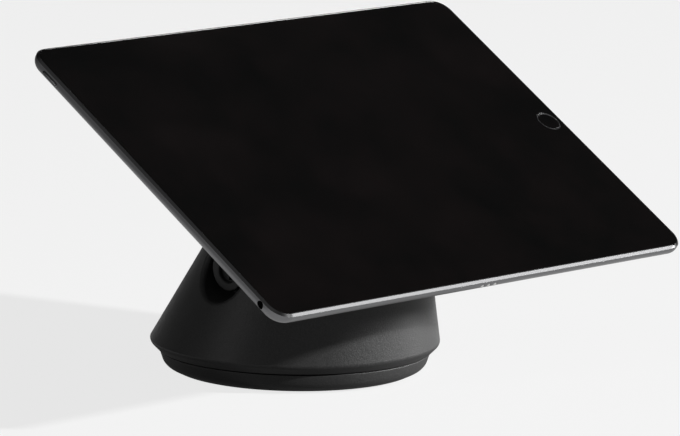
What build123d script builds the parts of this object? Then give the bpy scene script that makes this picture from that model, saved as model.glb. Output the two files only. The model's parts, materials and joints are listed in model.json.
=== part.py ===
from build123d import *
from math import cos, radians, sin
import os

# Clearances
running_fit = 0.05
body_gap = 0.3
seat_play = 0.1
screw_play = 0.05

# Where the glass of the tablet stands: its tilt from level, and its centre's height and reach to the front
tilt = 32.0
glass_height = 101.0
glass_reach = 39.8

# Tablet case
tablet_length = 250.6
tablet_width = 174.1
tablet_thickness = 6.1
tablet_corner = 8.5
case_back_radius = 4.0
case_chamfer = 0.95
case_back_wall = 1.0
case_side_wall = 3.2
glass_inset = 1.1
glass_thickness = 0.7

# Home button and front camera, in the bezel
home_inset = 8.5
home_ring_radius = 5.6
home_ring_width = 0.5
home_button_depth = 1.2
home_travel = 0.4
home_switch_length = 6.4
home_switch_dome = 2.8
home_switch_thickness = 0.25
front_camera_inset = 8.3
front_camera_radius = 2.4

# Screen and what lies under it
screen_end_bezel = 18.6
screen_side_bezel = 7.05
screen_thickness = 1.6
battery_end_space = 22.0
battery_side_space = 17.0
battery_corner = 3.0
battery_thickness = 2.4
board_width = 30.0
board_thickness = 0.8
chip_side = 18.0
chip_thickness = 1.0
speaker_length = 34.0
speaker_width = 8.0
speaker_offset = 36.0
speaker_height = 3.4

# Openings and buttons in the tablet's edge
edge_depth = 3.05
audio_jack_inset = 11.35
audio_jack_depth = 2.75
audio_jack_radius = 1.8
audio_socket_length = 14.0
audio_socket_width = 5.1
audio_socket_height = 4.1
audio_socket_end_wall = 0.8
charge_slot_depth = 3.6
charge_slot_width = 8.0
charge_slot_height = 1.8
charge_socket_length = 9.0
charge_socket_wall = 0.4
grille_hole_radius = 0.6
grille_pitch = 2.2
grille_holes = 12
key_length = 10.0
key_height = 2.2
key_proud = 0.4
key_root = 3.9
power_key_inset = 16.55
volume_key_inset = 39.3
volume_key_pitch = 13.0
contact_radius = 1.0
contact_pitch = 3.9
contact_offset = 0.6
contact_count = 3
contact_depth = 3.2
contact_pin_depth = 3.0
rear_camera_inset = 11.5
rear_camera_radius = 4.0
rear_camera_length = 3.4

# Plinth, foot and ballast
plinth_top_radius = 58.6
plinth_skirt_radius = 56.6
plinth_skirt_height = 2.9
plinth_bottom_radius = 51.6
plinth_bottom = 0.5
plinth_top = 8.8
plinth_round = 2.0
plinth_floor_top = 3.4
foot_radius = 49.0
foot_thickness = 1.2
ballast_radius = 50.0
ballast_thickness = 4.8

# Swivel bearing on the plinth
pivot_radius = 5.0
pivot_head_radius = 9.0
pivot_head_height = 1.3
pivot_washer_radius = 11.0
pivot_washer_thickness = 1.5
pivot_nut_width = 15.0
pivot_nut_height = 6.0
glide_inner_radius = 40.0
glide_outer_radius = 46.0
glide_thickness = 1.4

# Slanted shell
shell_rim_radius = 62.6
shell_rim_height = 13.7
shell_bottom = 9.4
shell_rim_chamfer = 3.2
shell_rim_round = 2.4
shell_rim_wall = 4.6
shell_neck_radius = 39.6
shell_neck_depth = 24.6
shell_top_taper = 2.2
shell_top_depth = 19.5
shell_wall = 3.0
shell_top_wall = 3.5
shell_top_round = 1.5
boss_radius = 4.5
boss_inset = 3.3
boss_height = 14.0
boss_count = 4
floor_thickness = 3.0
floor_hub_radius = 10.0
floor_hub_height = 2.1
floor_screw_radius = 1.5
floor_screw_head = 2.9
floor_screw_length = 10.0

# Side port and the turning knob in it
port_height = 49.5
port_back = -4.5
port_radius = 13.0
port_sleeve_wall = 3.0
port_inner_depth = 14.2
port_floor_thickness = 3.0
port_edge_round = 1.8
knob_radius = 9.2
knob_setback = 4.0
knob_length = 9.3
knob_recess_radius = 5.4
knob_recess_depth = 2.0
knob_slot_width = 2.0
knob_slot_depth = 1.2
knob_edge_round = 0.8
shaft_radius = 3.0
shaft_socket = 4.0
bush_wall = 2.0
bush_flange_radius = 7.5
bush_flange = 1.0
crank_disc_radius = 6.5
crank_disc_outside = 8.0
crank_disc_inside = 4.6
crank_throw = 2.6
crank_pin_radius = 2.0
crank_pin_length = 8.8
bracket_outside = 17.0
bracket_thickness = 3.0
bracket_width = 18.0
bracket_foot_length = 20.0
bracket_screw_radius = 1.5
bracket_screw_head = 2.8
bracket_screw_head_height = 1.8
bracket_screw_length = 5.5
bracket_screw_pitch = 11.0

# Neck: plate, head bearing and the housing that guides the yoke
neck_flange_inset = 2.6
neck_flange_thickness = 3.0
neck_front_depth = 19.2
neck_screw_radius = 1.25
neck_screw_head = 2.1
neck_screw_head_height = 1.5
neck_screw_inset = 2.0
neck_screw_count = 4
wear_ring_width = 7.0
wear_ring_inset = 3.0
wear_ring_thickness = 0.7
guide_cup_radius = 20.5
guide_wall = 2.5
guide_flange_thickness = 2.5
guide_cup_depth = 6.0
guide_length = 26.0

# Yoke and stem, which the crank pulls
yoke_radius = 9.0
yoke_top_depth = 40.0
yoke_barrel_length = 12.0
yoke_cheek = 7.0
yoke_lip = 3.8
yoke_pin_play = 0.25
yoke_end_wall = 3.0
stem_radius = 3.2
stem_button_radius = 6.0
stem_button_thickness = 3.0
stem_button_play = 0.2
stem_disc_radius = 8.0
stem_disc_thickness = 2.0
stem_disc_depth = 12.0

# Head: dish, cup and its nut
dish_radius = 36.0
dish_front_depth = 9.4
dish_back_depth = 18.2
dish_floor = 3.0
dish_bore_radius = 33.5
dish_ledge_radius = 29.0
dish_ledge_depth = 11.2
dish_round = 1.2
hub_radius = 14.0
hub_end_depth = 30.0
head_nut_radius = 18.0
head_nut_thickness = 3.2
cup_lip_radius = 34.5
cup_lip_thickness = 1.2
cup_centre_depth = 10.4
cup_boss_radius = 10.5
cup_boss_end = 14.8

# The glass plane and the axis through its centre, square to it
slope = radians(tilt)
glass_centre = Vector(0, -glass_reach, glass_height)
glass_normal = Vector(0, -sin(slope), cos(slope))
glass_plane = Plane(origin=glass_centre, x_dir=(1, 0, 0), z_dir=glass_normal)
section_plane = Plane(origin=glass_centre, x_dir=(1, 0, 0), z_dir=(0, -cos(slope), -sin(slope)))
tilt_axis = Axis(glass_centre, glass_normal)

# The side port's axis, square to the slanted axis, and where it passes that axis
port_centre = Vector(0, port_back, port_height)
port_from_glass = glass_plane.to_local_coords(port_centre)
port_depth = -port_from_glass.Z
port_offset = port_from_glass.Y
crank_drop = crank_throw * sin(radians(45))

# The shell's side at the port, from which the port, its floor and the knob are set back
neck_height = glass_height - shell_neck_depth * cos(slope)
port_rise = (port_height - shell_rim_height) / (neck_height - shell_rim_height)
port_surface = shell_rim_radius + port_rise * (shell_neck_radius - shell_rim_radius)
port_floor_outside = port_surface - port_inner_depth
knob_face = port_surface - knob_setback

# Circle of the bosses that the floor is screwed to, beside the shell's wall
boss_circle = shell_rim_radius - shell_rim_wall - boss_inset

# Radii at the shell's top, and of what is screwed under it, all from the radius of the neck
shell_top_radius = shell_neck_radius - shell_top_taper
neck_flange_radius = shell_neck_radius - shell_wall - neck_flange_inset
neck_screw_circle = neck_flange_radius - neck_screw_inset
neck_plate_radius = neck_screw_circle - neck_screw_inset
wear_ring_outer = neck_plate_radius - wear_ring_inset
wear_ring_inner = wear_ring_outer - wear_ring_width


def behind_glass(depth):
    """A plane parallel to the glass, this far behind it, that faces the user."""
    return glass_plane.offset(-depth)


def tilted_section(points):
    """A face through the slanted axis, from (radius, depth behind the glass) points."""
    with BuildSketch(section_plane) as section:
        with BuildLine():
            Polyline([(radius, -depth) for radius, depth in points], close=True)
        make_face()
    return section.sketch


def upright_section(points):
    """A face through the upright axis, from (radius, height) points."""
    with BuildSketch(Plane.XZ) as section:
        with BuildLine():
            Polyline(points, close=True)
        make_face()
    return section.sketch


def across_port(distance):
    """A plane square to the port's axis, this far to the side of the middle, that faces outwards."""
    return Plane(origin=(-distance, port_back, port_height), x_dir=(0, -1, 0), z_dir=(-1, 0, 0))


def save(part, name):
    """Names a finished piece and writes its file."""
    part.label = name
    export_step(part, f"parts/{name}.step")


os.makedirs("parts", exist_ok=True)

# Rubber foot pad under the plinth
with BuildPart() as foot_pad:
    Cylinder(foot_radius, foot_thickness, align=(Align.CENTER, Align.CENTER, Align.MIN))
save(foot_pad.part, "foot_pad")

# Plinth: a low tub that holds the ballast, its side nearly upright above a sloped skirt
with BuildPart() as plinth:
    revolve(
        upright_section(
            [
                (0, plinth_bottom),
                (plinth_bottom_radius, plinth_bottom),
                (plinth_skirt_radius, plinth_skirt_height),
                (plinth_top_radius, plinth_top),
                (ballast_radius + seat_play, plinth_top),
                (ballast_radius + seat_play, plinth_floor_top),
                (0, plinth_floor_top),
            ]
        ),
        axis=Axis.Z,
    )
    skirt_edge = plinth.edges().filter_by(GeomType.CIRCLE).group_by(Axis.Z)[1]
    fillet(skirt_edge, plinth_round)
    with BuildSketch(Plane.XY.offset(plinth_bottom)):
        Circle(foot_radius + seat_play)
    extrude(amount=foot_thickness - plinth_bottom, mode=Mode.SUBTRACT)
    with BuildSketch(Plane.XY.offset(foot_thickness)):
        Circle(pivot_head_radius + seat_play)
    extrude(amount=pivot_head_height + seat_play, mode=Mode.SUBTRACT)
    with BuildSketch(Plane.XY.offset(foot_thickness)):
        Circle(pivot_radius + screw_play)
    extrude(amount=plinth_floor_top, mode=Mode.SUBTRACT)
save(plinth.part, "plinth")

# Ballast disc, bored for the pivot bolt
ballast_top = plinth_floor_top + ballast_thickness
with BuildPart() as ballast:
    with BuildSketch(Plane.XY.offset(plinth_floor_top)):
        Circle(ballast_radius)
        Circle(pivot_radius + screw_play, mode=Mode.SUBTRACT)
    extrude(amount=ballast_thickness)
    chamfer(ballast.edges().filter_by(GeomType.CIRCLE).sort_by(SortBy.RADIUS)[-2:], glide_thickness / 4)
save(ballast.part, "ballast")

# Glide ring, which the shell's floor turns on
with BuildPart() as glide_ring:
    with BuildSketch(Plane.XY.offset(ballast_top)):
        Circle(glide_outer_radius)
        Circle(glide_inner_radius, mode=Mode.SUBTRACT)
    extrude(amount=glide_thickness)
save(glide_ring.part, "glide_ring")

# Heights of the swivel bearing, from the glide ring up
floor_bottom = ballast_top + glide_thickness + body_gap
floor_top = floor_bottom + floor_thickness
hub_top = floor_top + floor_hub_height
washer_bottom = hub_top + body_gap
nut_bottom = washer_bottom + pivot_washer_thickness
pivot_top = nut_bottom + pivot_nut_height + pivot_radius / 2

# Pivot bolt, up through the plinth, the ballast and the shell's floor
with BuildPart() as pivot_bolt:
    with BuildSketch(Plane.XY.offset(foot_thickness + seat_play)):
        Circle(pivot_head_radius)
    extrude(amount=pivot_head_height)
    with BuildSketch(Plane.XY.offset(foot_thickness + seat_play)):
        Circle(pivot_radius)
    extrude(amount=pivot_top - foot_thickness - seat_play)
    chamfer(pivot_bolt.edges().group_by(Axis.Z)[-1], pivot_radius / 8)
save(pivot_bolt.part, "pivot_bolt")

# Washer and nut that hold the shell's floor down
with BuildPart() as pivot_washer:
    with BuildSketch(Plane.XY.offset(washer_bottom)):
        Circle(pivot_washer_radius)
        Circle(pivot_radius + screw_play, mode=Mode.SUBTRACT)
    extrude(amount=pivot_washer_thickness)
save(pivot_washer.part, "pivot_washer")

with BuildPart() as pivot_nut:
    with BuildSketch(Plane.XY.offset(nut_bottom)):
        RegularPolygon(pivot_nut_width / 2, 6, major_radius=False)
        Circle(pivot_radius + screw_play, mode=Mode.SUBTRACT)
    extrude(amount=pivot_nut_height)
save(pivot_nut.part, "pivot_nut")

# Outer form of the shell: a low drum, the slanted cone on it and a short neck
with BuildPart() as shell_outside:
    revolve(
        upright_section(
            [
                (0, shell_bottom),
                (shell_rim_radius - shell_rim_chamfer, shell_bottom),
                (shell_rim_radius, shell_bottom + shell_rim_chamfer),
                (shell_rim_radius, shell_rim_height),
                (0, shell_rim_height),
            ]
        ),
        axis=Axis.Z,
    )
    with BuildSketch(Plane.XY.offset(shell_rim_height)):
        Circle(shell_rim_radius)
    with BuildSketch(behind_glass(shell_neck_depth)):
        Circle(shell_neck_radius)
    loft(ruled=True)
    with BuildSketch(behind_glass(shell_neck_depth)):
        Circle(shell_neck_radius)
    with BuildSketch(behind_glass(shell_top_depth)):
        Circle(shell_top_radius)
    loft(ruled=True)
    fillet(shell_outside.edges().filter_by(GeomType.CIRCLE).group_by(Axis.Z)[1], shell_rim_round)
    top_face = shell_outside.faces().sort_by(tilt_axis)[-1]
    fillet(top_face.edges(), shell_top_round)

# Hollow of the shell, inside a stout rim and a thinner neck
cavity_top_depth = shell_top_depth + shell_top_wall
neck_slope = (shell_neck_radius - shell_top_radius) / (shell_neck_depth - shell_top_depth)
cavity_top_radius = shell_top_radius - shell_wall + shell_top_wall * neck_slope
with BuildPart() as shell_hollow:
    with BuildSketch(Plane.XY.offset(shell_bottom)):
        Circle(shell_rim_radius - shell_rim_wall)
    extrude(amount=shell_rim_height - shell_bottom)
    with BuildSketch(Plane.XY.offset(shell_rim_height)):
        Circle(shell_rim_radius - shell_rim_wall)
    with BuildSketch(behind_glass(shell_neck_depth)):
        Circle(shell_neck_radius - shell_wall)
    loft(ruled=True)
    with BuildSketch(behind_glass(shell_neck_depth)):
        Circle(shell_neck_radius - shell_wall)
    with BuildSketch(behind_glass(cavity_top_depth)):
        Circle(cavity_top_radius)
    loft(ruled=True)

# What is moulded inside the hollow: screw bosses and the sleeve of the port
with BuildPart() as shell_inserts:
    with BuildSketch(Plane.XY.offset(floor_top)):
        with PolarLocations(boss_circle, boss_count, start_angle=45):
            Circle(boss_radius)
    extrude(amount=boss_height)
    with BuildSketch(across_port(port_floor_outside - port_floor_thickness)):
        Circle(port_radius + port_sleeve_wall)
    extrude(amount=shell_rim_radius)
    add(shell_outside.part, mode=Mode.INTERSECT)

# Slanted shell
neck_bore = neck_plate_radius + seat_play
with BuildPart() as cone_shell:
    add(shell_outside.part)
    add(shell_hollow.part, mode=Mode.SUBTRACT)
    add(shell_inserts.part)
    with BuildSketch(behind_glass(cavity_top_depth)):
        Circle(neck_bore)
    extrude(amount=shell_top_wall, mode=Mode.SUBTRACT)
    with BuildSketch(across_port(port_floor_outside)):
        Circle(port_radius)
    extrude(amount=shell_rim_radius, mode=Mode.SUBTRACT)
    port_mouth = cone_shell.edges().filter_by_position(Axis.X, -shell_rim_radius, -knob_face)
    port_mouth = port_mouth.filter_by_position(Axis.Z, port_height - port_radius, port_height + port_radius)
    fillet(port_mouth, port_edge_round)
    with BuildSketch(across_port(port_floor_outside - port_floor_thickness)):
        Circle(shaft_radius + running_fit + bush_wall)
    extrude(amount=port_floor_thickness, mode=Mode.SUBTRACT)
    with BuildSketch(Plane.XY.offset(floor_top)):
        with PolarLocations(boss_circle, boss_count, start_angle=45):
            Circle(floor_screw_radius + screw_play)
    extrude(amount=floor_screw_length - floor_thickness + seat_play, mode=Mode.SUBTRACT)
    with BuildSketch(behind_glass(cavity_top_depth)):
        with PolarLocations(neck_screw_circle, neck_screw_count, start_angle=45):
            Circle(neck_screw_radius + screw_play)
    extrude(amount=shell_top_wall - shell_top_round, mode=Mode.SUBTRACT)
save(cone_shell.part, "cone_shell")

# Floor plate, with the hub that turns on the pivot bolt
with BuildPart() as floor_plate:
    with BuildSketch(Plane.XY.offset(floor_bottom)):
        Circle(shell_rim_radius - shell_rim_wall - seat_play)
    extrude(amount=floor_thickness)
    with BuildSketch(Plane.XY.offset(floor_top)):
        Circle(floor_hub_radius)
    extrude(amount=floor_hub_height)
    with BuildSketch(Plane.XY.offset(floor_bottom)):
        Circle(pivot_radius + running_fit)
    extrude(amount=floor_thickness + floor_hub_height, mode=Mode.SUBTRACT)
    with Locations(Plane.XY.offset(floor_bottom)):
        with PolarLocations(boss_circle, boss_count, start_angle=45):
            Cylinder(
                floor_screw_radius + screw_play,
                floor_thickness,
                align=(Align.CENTER, Align.CENTER, Align.MIN),
                mode=Mode.SUBTRACT,
            )
            Cone(
                floor_screw_head + screw_play,
                floor_screw_radius + screw_play,
                floor_screw_head - floor_screw_radius,
                align=(Align.CENTER, Align.CENTER, Align.MIN),
                mode=Mode.SUBTRACT,
            )
    with BuildSketch(Plane.XY.offset(floor_top)):
        with Locations((-bracket_outside - bracket_foot_length / 2, port_back)):
            with GridLocations(1, bracket_screw_pitch, 1, 2):
                Circle(bracket_screw_radius + screw_play)
    extrude(amount=-(bracket_screw_length - bracket_thickness), mode=Mode.SUBTRACT)
save(floor_plate.part, "floor_plate")

# Countersunk screws, up through the floor plate into the bosses
with BuildPart() as floor_screws:
    with Locations(Plane.XY.offset(floor_bottom)):
        with PolarLocations(boss_circle, boss_count, start_angle=45):
            Cylinder(
                floor_screw_radius,
                floor_screw_length,
                align=(Align.CENTER, Align.CENTER, Align.MIN),
            )
            Cone(
                floor_screw_head,
                floor_screw_radius,
                floor_screw_head - floor_screw_radius,
                align=(Align.CENTER, Align.CENTER, Align.MIN),
            )
save(floor_screws.part, "floor_screws")

# Bracket that carries the inner end of the knob's shaft
bracket_top = port_height + shaft_radius * 2
with BuildPart() as shaft_bracket:
    with BuildSketch(across_port(bracket_outside - bracket_thickness)):
        with Locations((0, (bracket_top + floor_top) / 2 - port_height)):
            Rectangle(bracket_width, bracket_top - floor_top)
    extrude(amount=bracket_thickness)
    with BuildSketch(Plane.XY.offset(floor_top)):
        with Locations((-bracket_outside - bracket_foot_length / 2, port_back)):
            Rectangle(bracket_foot_length, bracket_width)
    extrude(amount=bracket_thickness)
    upper_corners = shaft_bracket.edges().filter_by(Axis.X).group_by(Axis.Z)[-1]
    fillet(upper_corners, bracket_width / 3)
    with BuildSketch(across_port(bracket_outside - bracket_thickness)):
        Circle(shaft_radius + running_fit)
    extrude(amount=bracket_thickness, mode=Mode.SUBTRACT)
    with BuildSketch(Plane.XY.offset(floor_top)):
        with Locations((-bracket_outside - bracket_foot_length / 2, port_back)):
            with GridLocations(1, bracket_screw_pitch, 1, 2):
                Circle(bracket_screw_radius + screw_play)
    extrude(amount=bracket_thickness, mode=Mode.SUBTRACT)
save(shaft_bracket.part, "shaft_bracket")

with BuildPart() as bracket_screws:
    with BuildSketch(Plane.XY.offset(floor_top + bracket_thickness)):
        with Locations((-bracket_outside - bracket_foot_length / 2, port_back)):
            with GridLocations(1, bracket_screw_pitch, 1, 2):
                Circle(bracket_screw_radius)
    extrude(amount=-bracket_screw_length)
    with BuildSketch(Plane.XY.offset(floor_top + bracket_thickness)):
        with Locations((-bracket_outside - bracket_foot_length / 2, port_back)):
            with GridLocations(1, bracket_screw_pitch, 1, 2):
                Circle(bracket_screw_head)
    extrude(amount=bracket_screw_head_height)
save(bracket_screws.part, "bracket_screws")

# Flanged bush in the floor of the port
with BuildPart() as knob_bush:
    with BuildSketch(across_port(port_floor_outside - port_floor_thickness)):
        Circle(shaft_radius + running_fit + bush_wall)
    extrude(amount=port_floor_thickness)
    with BuildSketch(across_port(port_floor_outside - port_floor_thickness - bush_flange)):
        Circle(bush_flange_radius)
    extrude(amount=bush_flange)
    with BuildSketch(across_port(port_floor_outside - port_floor_thickness - bush_flange)):
        Circle(shaft_radius + running_fit)
    extrude(amount=port_floor_thickness + bush_flange, mode=Mode.SUBTRACT)
save(knob_bush.part, "knob_bush")

# Crank shaft: the shaft, its disc and the eccentric pin
with BuildPart() as crank_shaft:
    with BuildSketch(across_port(crank_disc_outside)):
        Circle(shaft_radius)
    extrude(amount=knob_face - knob_length + shaft_socket - crank_disc_outside)
    with BuildSketch(across_port(crank_disc_inside)):
        Circle(crank_disc_radius)
    extrude(amount=crank_disc_outside - crank_disc_inside)
    pin_plane = Plane(
        origin=behind_glass(port_depth + crank_drop).origin
        + glass_plane.y_dir * (port_offset - crank_drop)
        - Vector(crank_disc_inside, 0, 0),
        x_dir=(0, 1, 0),
        z_dir=(1, 0, 0),
    )
    with BuildSketch(pin_plane):
        Circle(crank_pin_radius)
    extrude(amount=crank_pin_length)
save(crank_shaft.part, "crank_shaft")

# Turning knob, recessed in the port, with a slot in its hollow face
with BuildPart() as knob:
    with BuildSketch(across_port(knob_face - knob_length)):
        Circle(knob_radius)
    extrude(amount=knob_length)
    with BuildSketch(across_port(knob_face - knob_recess_depth)):
        Circle(knob_recess_radius)
    extrude(amount=knob_recess_depth, mode=Mode.SUBTRACT)
    fillet(knob.faces().sort_by(Axis.X)[0].edges(), knob_edge_round)
    with BuildSketch(across_port(knob_face - knob_recess_depth - knob_slot_depth)):
        Rectangle(knob_slot_width, 2 * (knob_recess_radius - knob_edge_round))
    extrude(amount=knob_slot_depth, mode=Mode.SUBTRACT)
    with BuildSketch(across_port(knob_face - knob_length)):
        Circle(shaft_radius + screw_play)
    extrude(amount=shaft_socket + screw_play, mode=Mode.SUBTRACT)
save(knob.part, "knob")

# Neck plate, screwed under the shell's top, with the bore that the head turns in
neck_flange_end = cavity_top_depth + neck_flange_thickness
with BuildPart() as neck_plate:
    revolve(
        tilted_section(
            [
                (hub_radius + running_fit, neck_front_depth),
                (neck_plate_radius, neck_front_depth),
                (neck_plate_radius, cavity_top_depth),
                (neck_flange_radius, cavity_top_depth),
                (neck_flange_radius, neck_flange_end),
                (hub_radius + running_fit, neck_flange_end),
            ]
        ),
        axis=tilt_axis,
    )
    with BuildSketch(behind_glass(neck_flange_end)):
        with PolarLocations(neck_screw_circle, neck_screw_count, start_angle=45):
            Circle(neck_screw_radius + screw_play)
    extrude(amount=neck_flange_thickness, mode=Mode.SUBTRACT)
save(neck_plate.part, "neck_plate")

# Wear ring between the neck plate and the head
with BuildPart() as wear_ring:
    with BuildSketch(behind_glass(neck_front_depth)):
        Circle(wear_ring_outer)
        Circle(wear_ring_inner, mode=Mode.SUBTRACT)
    extrude(amount=wear_ring_thickness)
save(wear_ring.part, "wear_ring")

# Guide housing under the neck plate, which the yoke slides in
guide_flange_end = neck_flange_end + guide_flange_thickness
guide_floor_depth = neck_flange_end + guide_cup_depth
guide_end_depth = neck_flange_end + guide_length
with BuildPart() as guide_housing:
    revolve(
        tilted_section(
            [
                (guide_cup_radius, neck_flange_end),
                (neck_flange_radius, neck_flange_end),
                (neck_flange_radius, guide_flange_end),
                (guide_cup_radius + guide_wall, guide_flange_end),
                (guide_cup_radius + guide_wall, guide_floor_depth + guide_wall),
                (yoke_radius + running_fit + guide_wall, guide_floor_depth + guide_wall),
                (yoke_radius + running_fit + guide_wall, guide_end_depth),
                (yoke_radius + running_fit, guide_end_depth),
                (yoke_radius + running_fit, guide_floor_depth),
                (guide_cup_radius, guide_floor_depth),
            ]
        ),
        axis=tilt_axis,
    )
    with BuildSketch(behind_glass(guide_flange_end)):
        with PolarLocations(neck_screw_circle, neck_screw_count, start_angle=45):
            Circle(neck_screw_radius + screw_play)
    extrude(amount=guide_flange_thickness, mode=Mode.SUBTRACT)
save(guide_housing.part, "guide_housing")

# Screws through the guide housing and the neck plate into the shell's top
neck_screw_length = guide_flange_end - shell_top_depth - shell_top_round - seat_play
with BuildPart() as neck_screws:
    with BuildSketch(behind_glass(guide_flange_end)):
        with PolarLocations(neck_screw_circle, neck_screw_count, start_angle=45):
            Circle(neck_screw_radius)
    extrude(amount=neck_screw_length)
    with BuildSketch(behind_glass(guide_flange_end)):
        with PolarLocations(neck_screw_circle, neck_screw_count, start_angle=45):
            Circle(neck_screw_head)
    extrude(amount=-neck_screw_head_height)
save(neck_screws.part, "neck_screws")

# Yoke: a barrel that holds the stem's button, over a cheek with the slot for the crank's pin
pin_depth = port_depth + crank_drop
pin_reach = port_offset - crank_drop
slot_middle = (pin_reach + port_offset - crank_throw) / 2
slot_length = pin_reach - (port_offset - crank_throw) + 2 * (crank_pin_radius + yoke_pin_play)
slot_height = 2 * (crank_pin_radius + yoke_pin_play)
barrel_end_depth = yoke_top_depth + yoke_barrel_length
cheek_end_depth = pin_depth + slot_height / 2 + yoke_end_wall
button_depth = yoke_top_depth + yoke_lip + stem_button_play
with BuildPart() as yoke:
    with BuildSketch(behind_glass(barrel_end_depth)):
        Circle(yoke_radius)
    extrude(amount=yoke_barrel_length)
    with BuildSketch(behind_glass(cheek_end_depth)):
        with Locations((0, slot_middle)):
            Rectangle(yoke_cheek, slot_length + 2 * yoke_end_wall)
    extrude(amount=cheek_end_depth - barrel_end_depth)
    with BuildSketch(Plane(origin=glass_centre, x_dir=glass_plane.y_dir, z_dir=(1, 0, 0))):
        with Locations((slot_middle, -pin_depth)):
            Rectangle(slot_length, slot_height)
    extrude(amount=yoke_radius, both=True, mode=Mode.SUBTRACT)
    with BuildSketch(behind_glass(button_depth + stem_button_thickness + stem_button_play)):
        Circle(stem_button_radius + stem_button_play)
        with Locations((0, yoke_radius / 2)):
            Rectangle(2 * (stem_button_radius + stem_button_play), yoke_radius)
    extrude(amount=stem_button_thickness + 2 * stem_button_play, mode=Mode.SUBTRACT)
    with BuildSketch(behind_glass(button_depth)):
        Circle(stem_radius + stem_button_play)
        with Locations((0, yoke_radius / 2)):
            Rectangle(2 * (stem_radius + stem_button_play), yoke_radius)
    extrude(amount=yoke_lip + 2 * stem_button_play, mode=Mode.SUBTRACT)
save(yoke.part, "yoke")

# Stem: a button in the yoke, a rod through the head's hub and a disc in the cup
with BuildPart() as stem:
    revolve(
        tilted_section(
            [
                (0, stem_disc_depth),
                (stem_disc_radius, stem_disc_depth),
                (stem_disc_radius, stem_disc_depth + stem_disc_thickness),
                (stem_radius, stem_disc_depth + stem_disc_thickness),
                (stem_radius, button_depth),
                (stem_button_radius, button_depth),
                (stem_button_radius, button_depth + stem_button_thickness),
                (0, button_depth + stem_button_thickness),
            ]
        ),
        axis=tilt_axis,
    )
save(stem.part, "stem")

# Head dish, with the hub that turns in the neck plate
with BuildPart() as head_dish:
    revolve(
        tilted_section(
            [
                (stem_radius + running_fit, dish_back_depth - dish_floor),
                (dish_ledge_radius, dish_back_depth - dish_floor),
                (dish_ledge_radius, dish_ledge_depth),
                (dish_bore_radius, dish_ledge_depth),
                (dish_bore_radius, dish_front_depth),
                (dish_radius, dish_front_depth),
                (dish_radius, dish_back_depth),
                (hub_radius, dish_back_depth),
                (hub_radius, hub_end_depth),
                (stem_radius + running_fit, hub_end_depth),
            ]
        ),
        axis=tilt_axis,
    )
    outer_edges = head_dish.edges().filter_by(GeomType.CIRCLE).sort_by(SortBy.RADIUS)[-2:]
    fillet(outer_edges.sort_by(tilt_axis)[0], dish_round)
save(head_dish.part, "head_dish")

# Ring nut on the hub, behind the neck plate
head_nut_depth = neck_flange_end + body_gap
with BuildPart() as head_nut:
    with BuildSketch(behind_glass(head_nut_depth + head_nut_thickness)):
        Circle(head_nut_radius)
        Circle(hub_radius + screw_play, mode=Mode.SUBTRACT)
    extrude(amount=head_nut_thickness)
save(head_nut.part, "head_nut")

# Suction cup, drawn back at its centre by the stem's disc
cup_face_depth = tablet_thickness + body_gap
disc_pocket_radius = stem_disc_radius + running_fit
disc_pocket_front = stem_disc_depth - running_fit
disc_pocket_back = stem_disc_depth + stem_disc_thickness + running_fit
cup_bead_radius = dish_bore_radius - seat_play
with BuildPart() as suction_cup:
    revolve(
        tilted_section(
            [
                (0, cup_centre_depth),
                (stem_disc_radius, cup_centre_depth),
                (dish_ledge_radius, cup_face_depth + cup_lip_thickness / 2),
                (cup_lip_radius, cup_face_depth),
                (cup_lip_radius, cup_face_depth + cup_lip_thickness),
                (cup_bead_radius, dish_front_depth),
                (cup_bead_radius, dish_ledge_depth),
                (dish_ledge_radius, dish_ledge_depth),
                (cup_boss_radius, cup_centre_depth + 2 * cup_lip_thickness),
                (cup_boss_radius, cup_boss_end),
                (stem_radius + running_fit, cup_boss_end),
                (stem_radius + running_fit, disc_pocket_back),
                (disc_pocket_radius, disc_pocket_back),
                (disc_pocket_radius, disc_pocket_front),
                (0, disc_pocket_front),
            ]
        ),
        axis=tilt_axis,
    )
save(suction_cup.part, "suction_cup")

# Places on and inside the tablet
half_length = tablet_length / 2
half_width = tablet_width / 2
home_offset = half_length - home_inset
front_camera_offset = half_length - front_camera_inset
audio_jack_offset = half_width - audio_jack_inset
power_key_offset = half_width - power_key_inset
volume_key_offset = half_length - volume_key_inset
pocket_length = tablet_length - 2 * case_side_wall
pocket_width = tablet_width - 2 * case_side_wall
pocket_end_depth = tablet_thickness - case_back_wall
glass_length = tablet_length - 2 * (glass_inset + seat_play)
glass_width = tablet_width - 2 * (glass_inset + seat_play)
screen_depth = glass_thickness + seat_play
screen_length = tablet_length - 2 * screen_end_bezel
screen_width = tablet_width - 2 * screen_side_bezel
battery_length = half_length - battery_end_space - board_width / 2 - body_gap
battery_width = tablet_width - 2 * battery_side_space
rear_camera_place = (-half_length + rear_camera_inset, half_width - rear_camera_inset)
left_end = Plane(
    origin=glass_centre - glass_plane.x_dir * half_length, x_dir=glass_plane.y_dir, z_dir=(1, 0, 0)
)
right_end = Plane(
    origin=glass_centre + glass_plane.x_dir * half_length, x_dir=glass_plane.y_dir, z_dir=(1, 0, 0)
)
far_side = Plane(
    origin=glass_centre + glass_plane.y_dir * half_width, x_dir=(-1, 0, 0), z_dir=glass_plane.y_dir
)
near_side = Plane(
    origin=glass_centre - glass_plane.y_dir * half_width, x_dir=(1, 0, 0), z_dir=-glass_plane.y_dir
)
volume_keys = {
    "volume_up": volume_key_offset + volume_key_pitch / 2,
    "volume_down": volume_key_offset - volume_key_pitch / 2,
}

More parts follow.
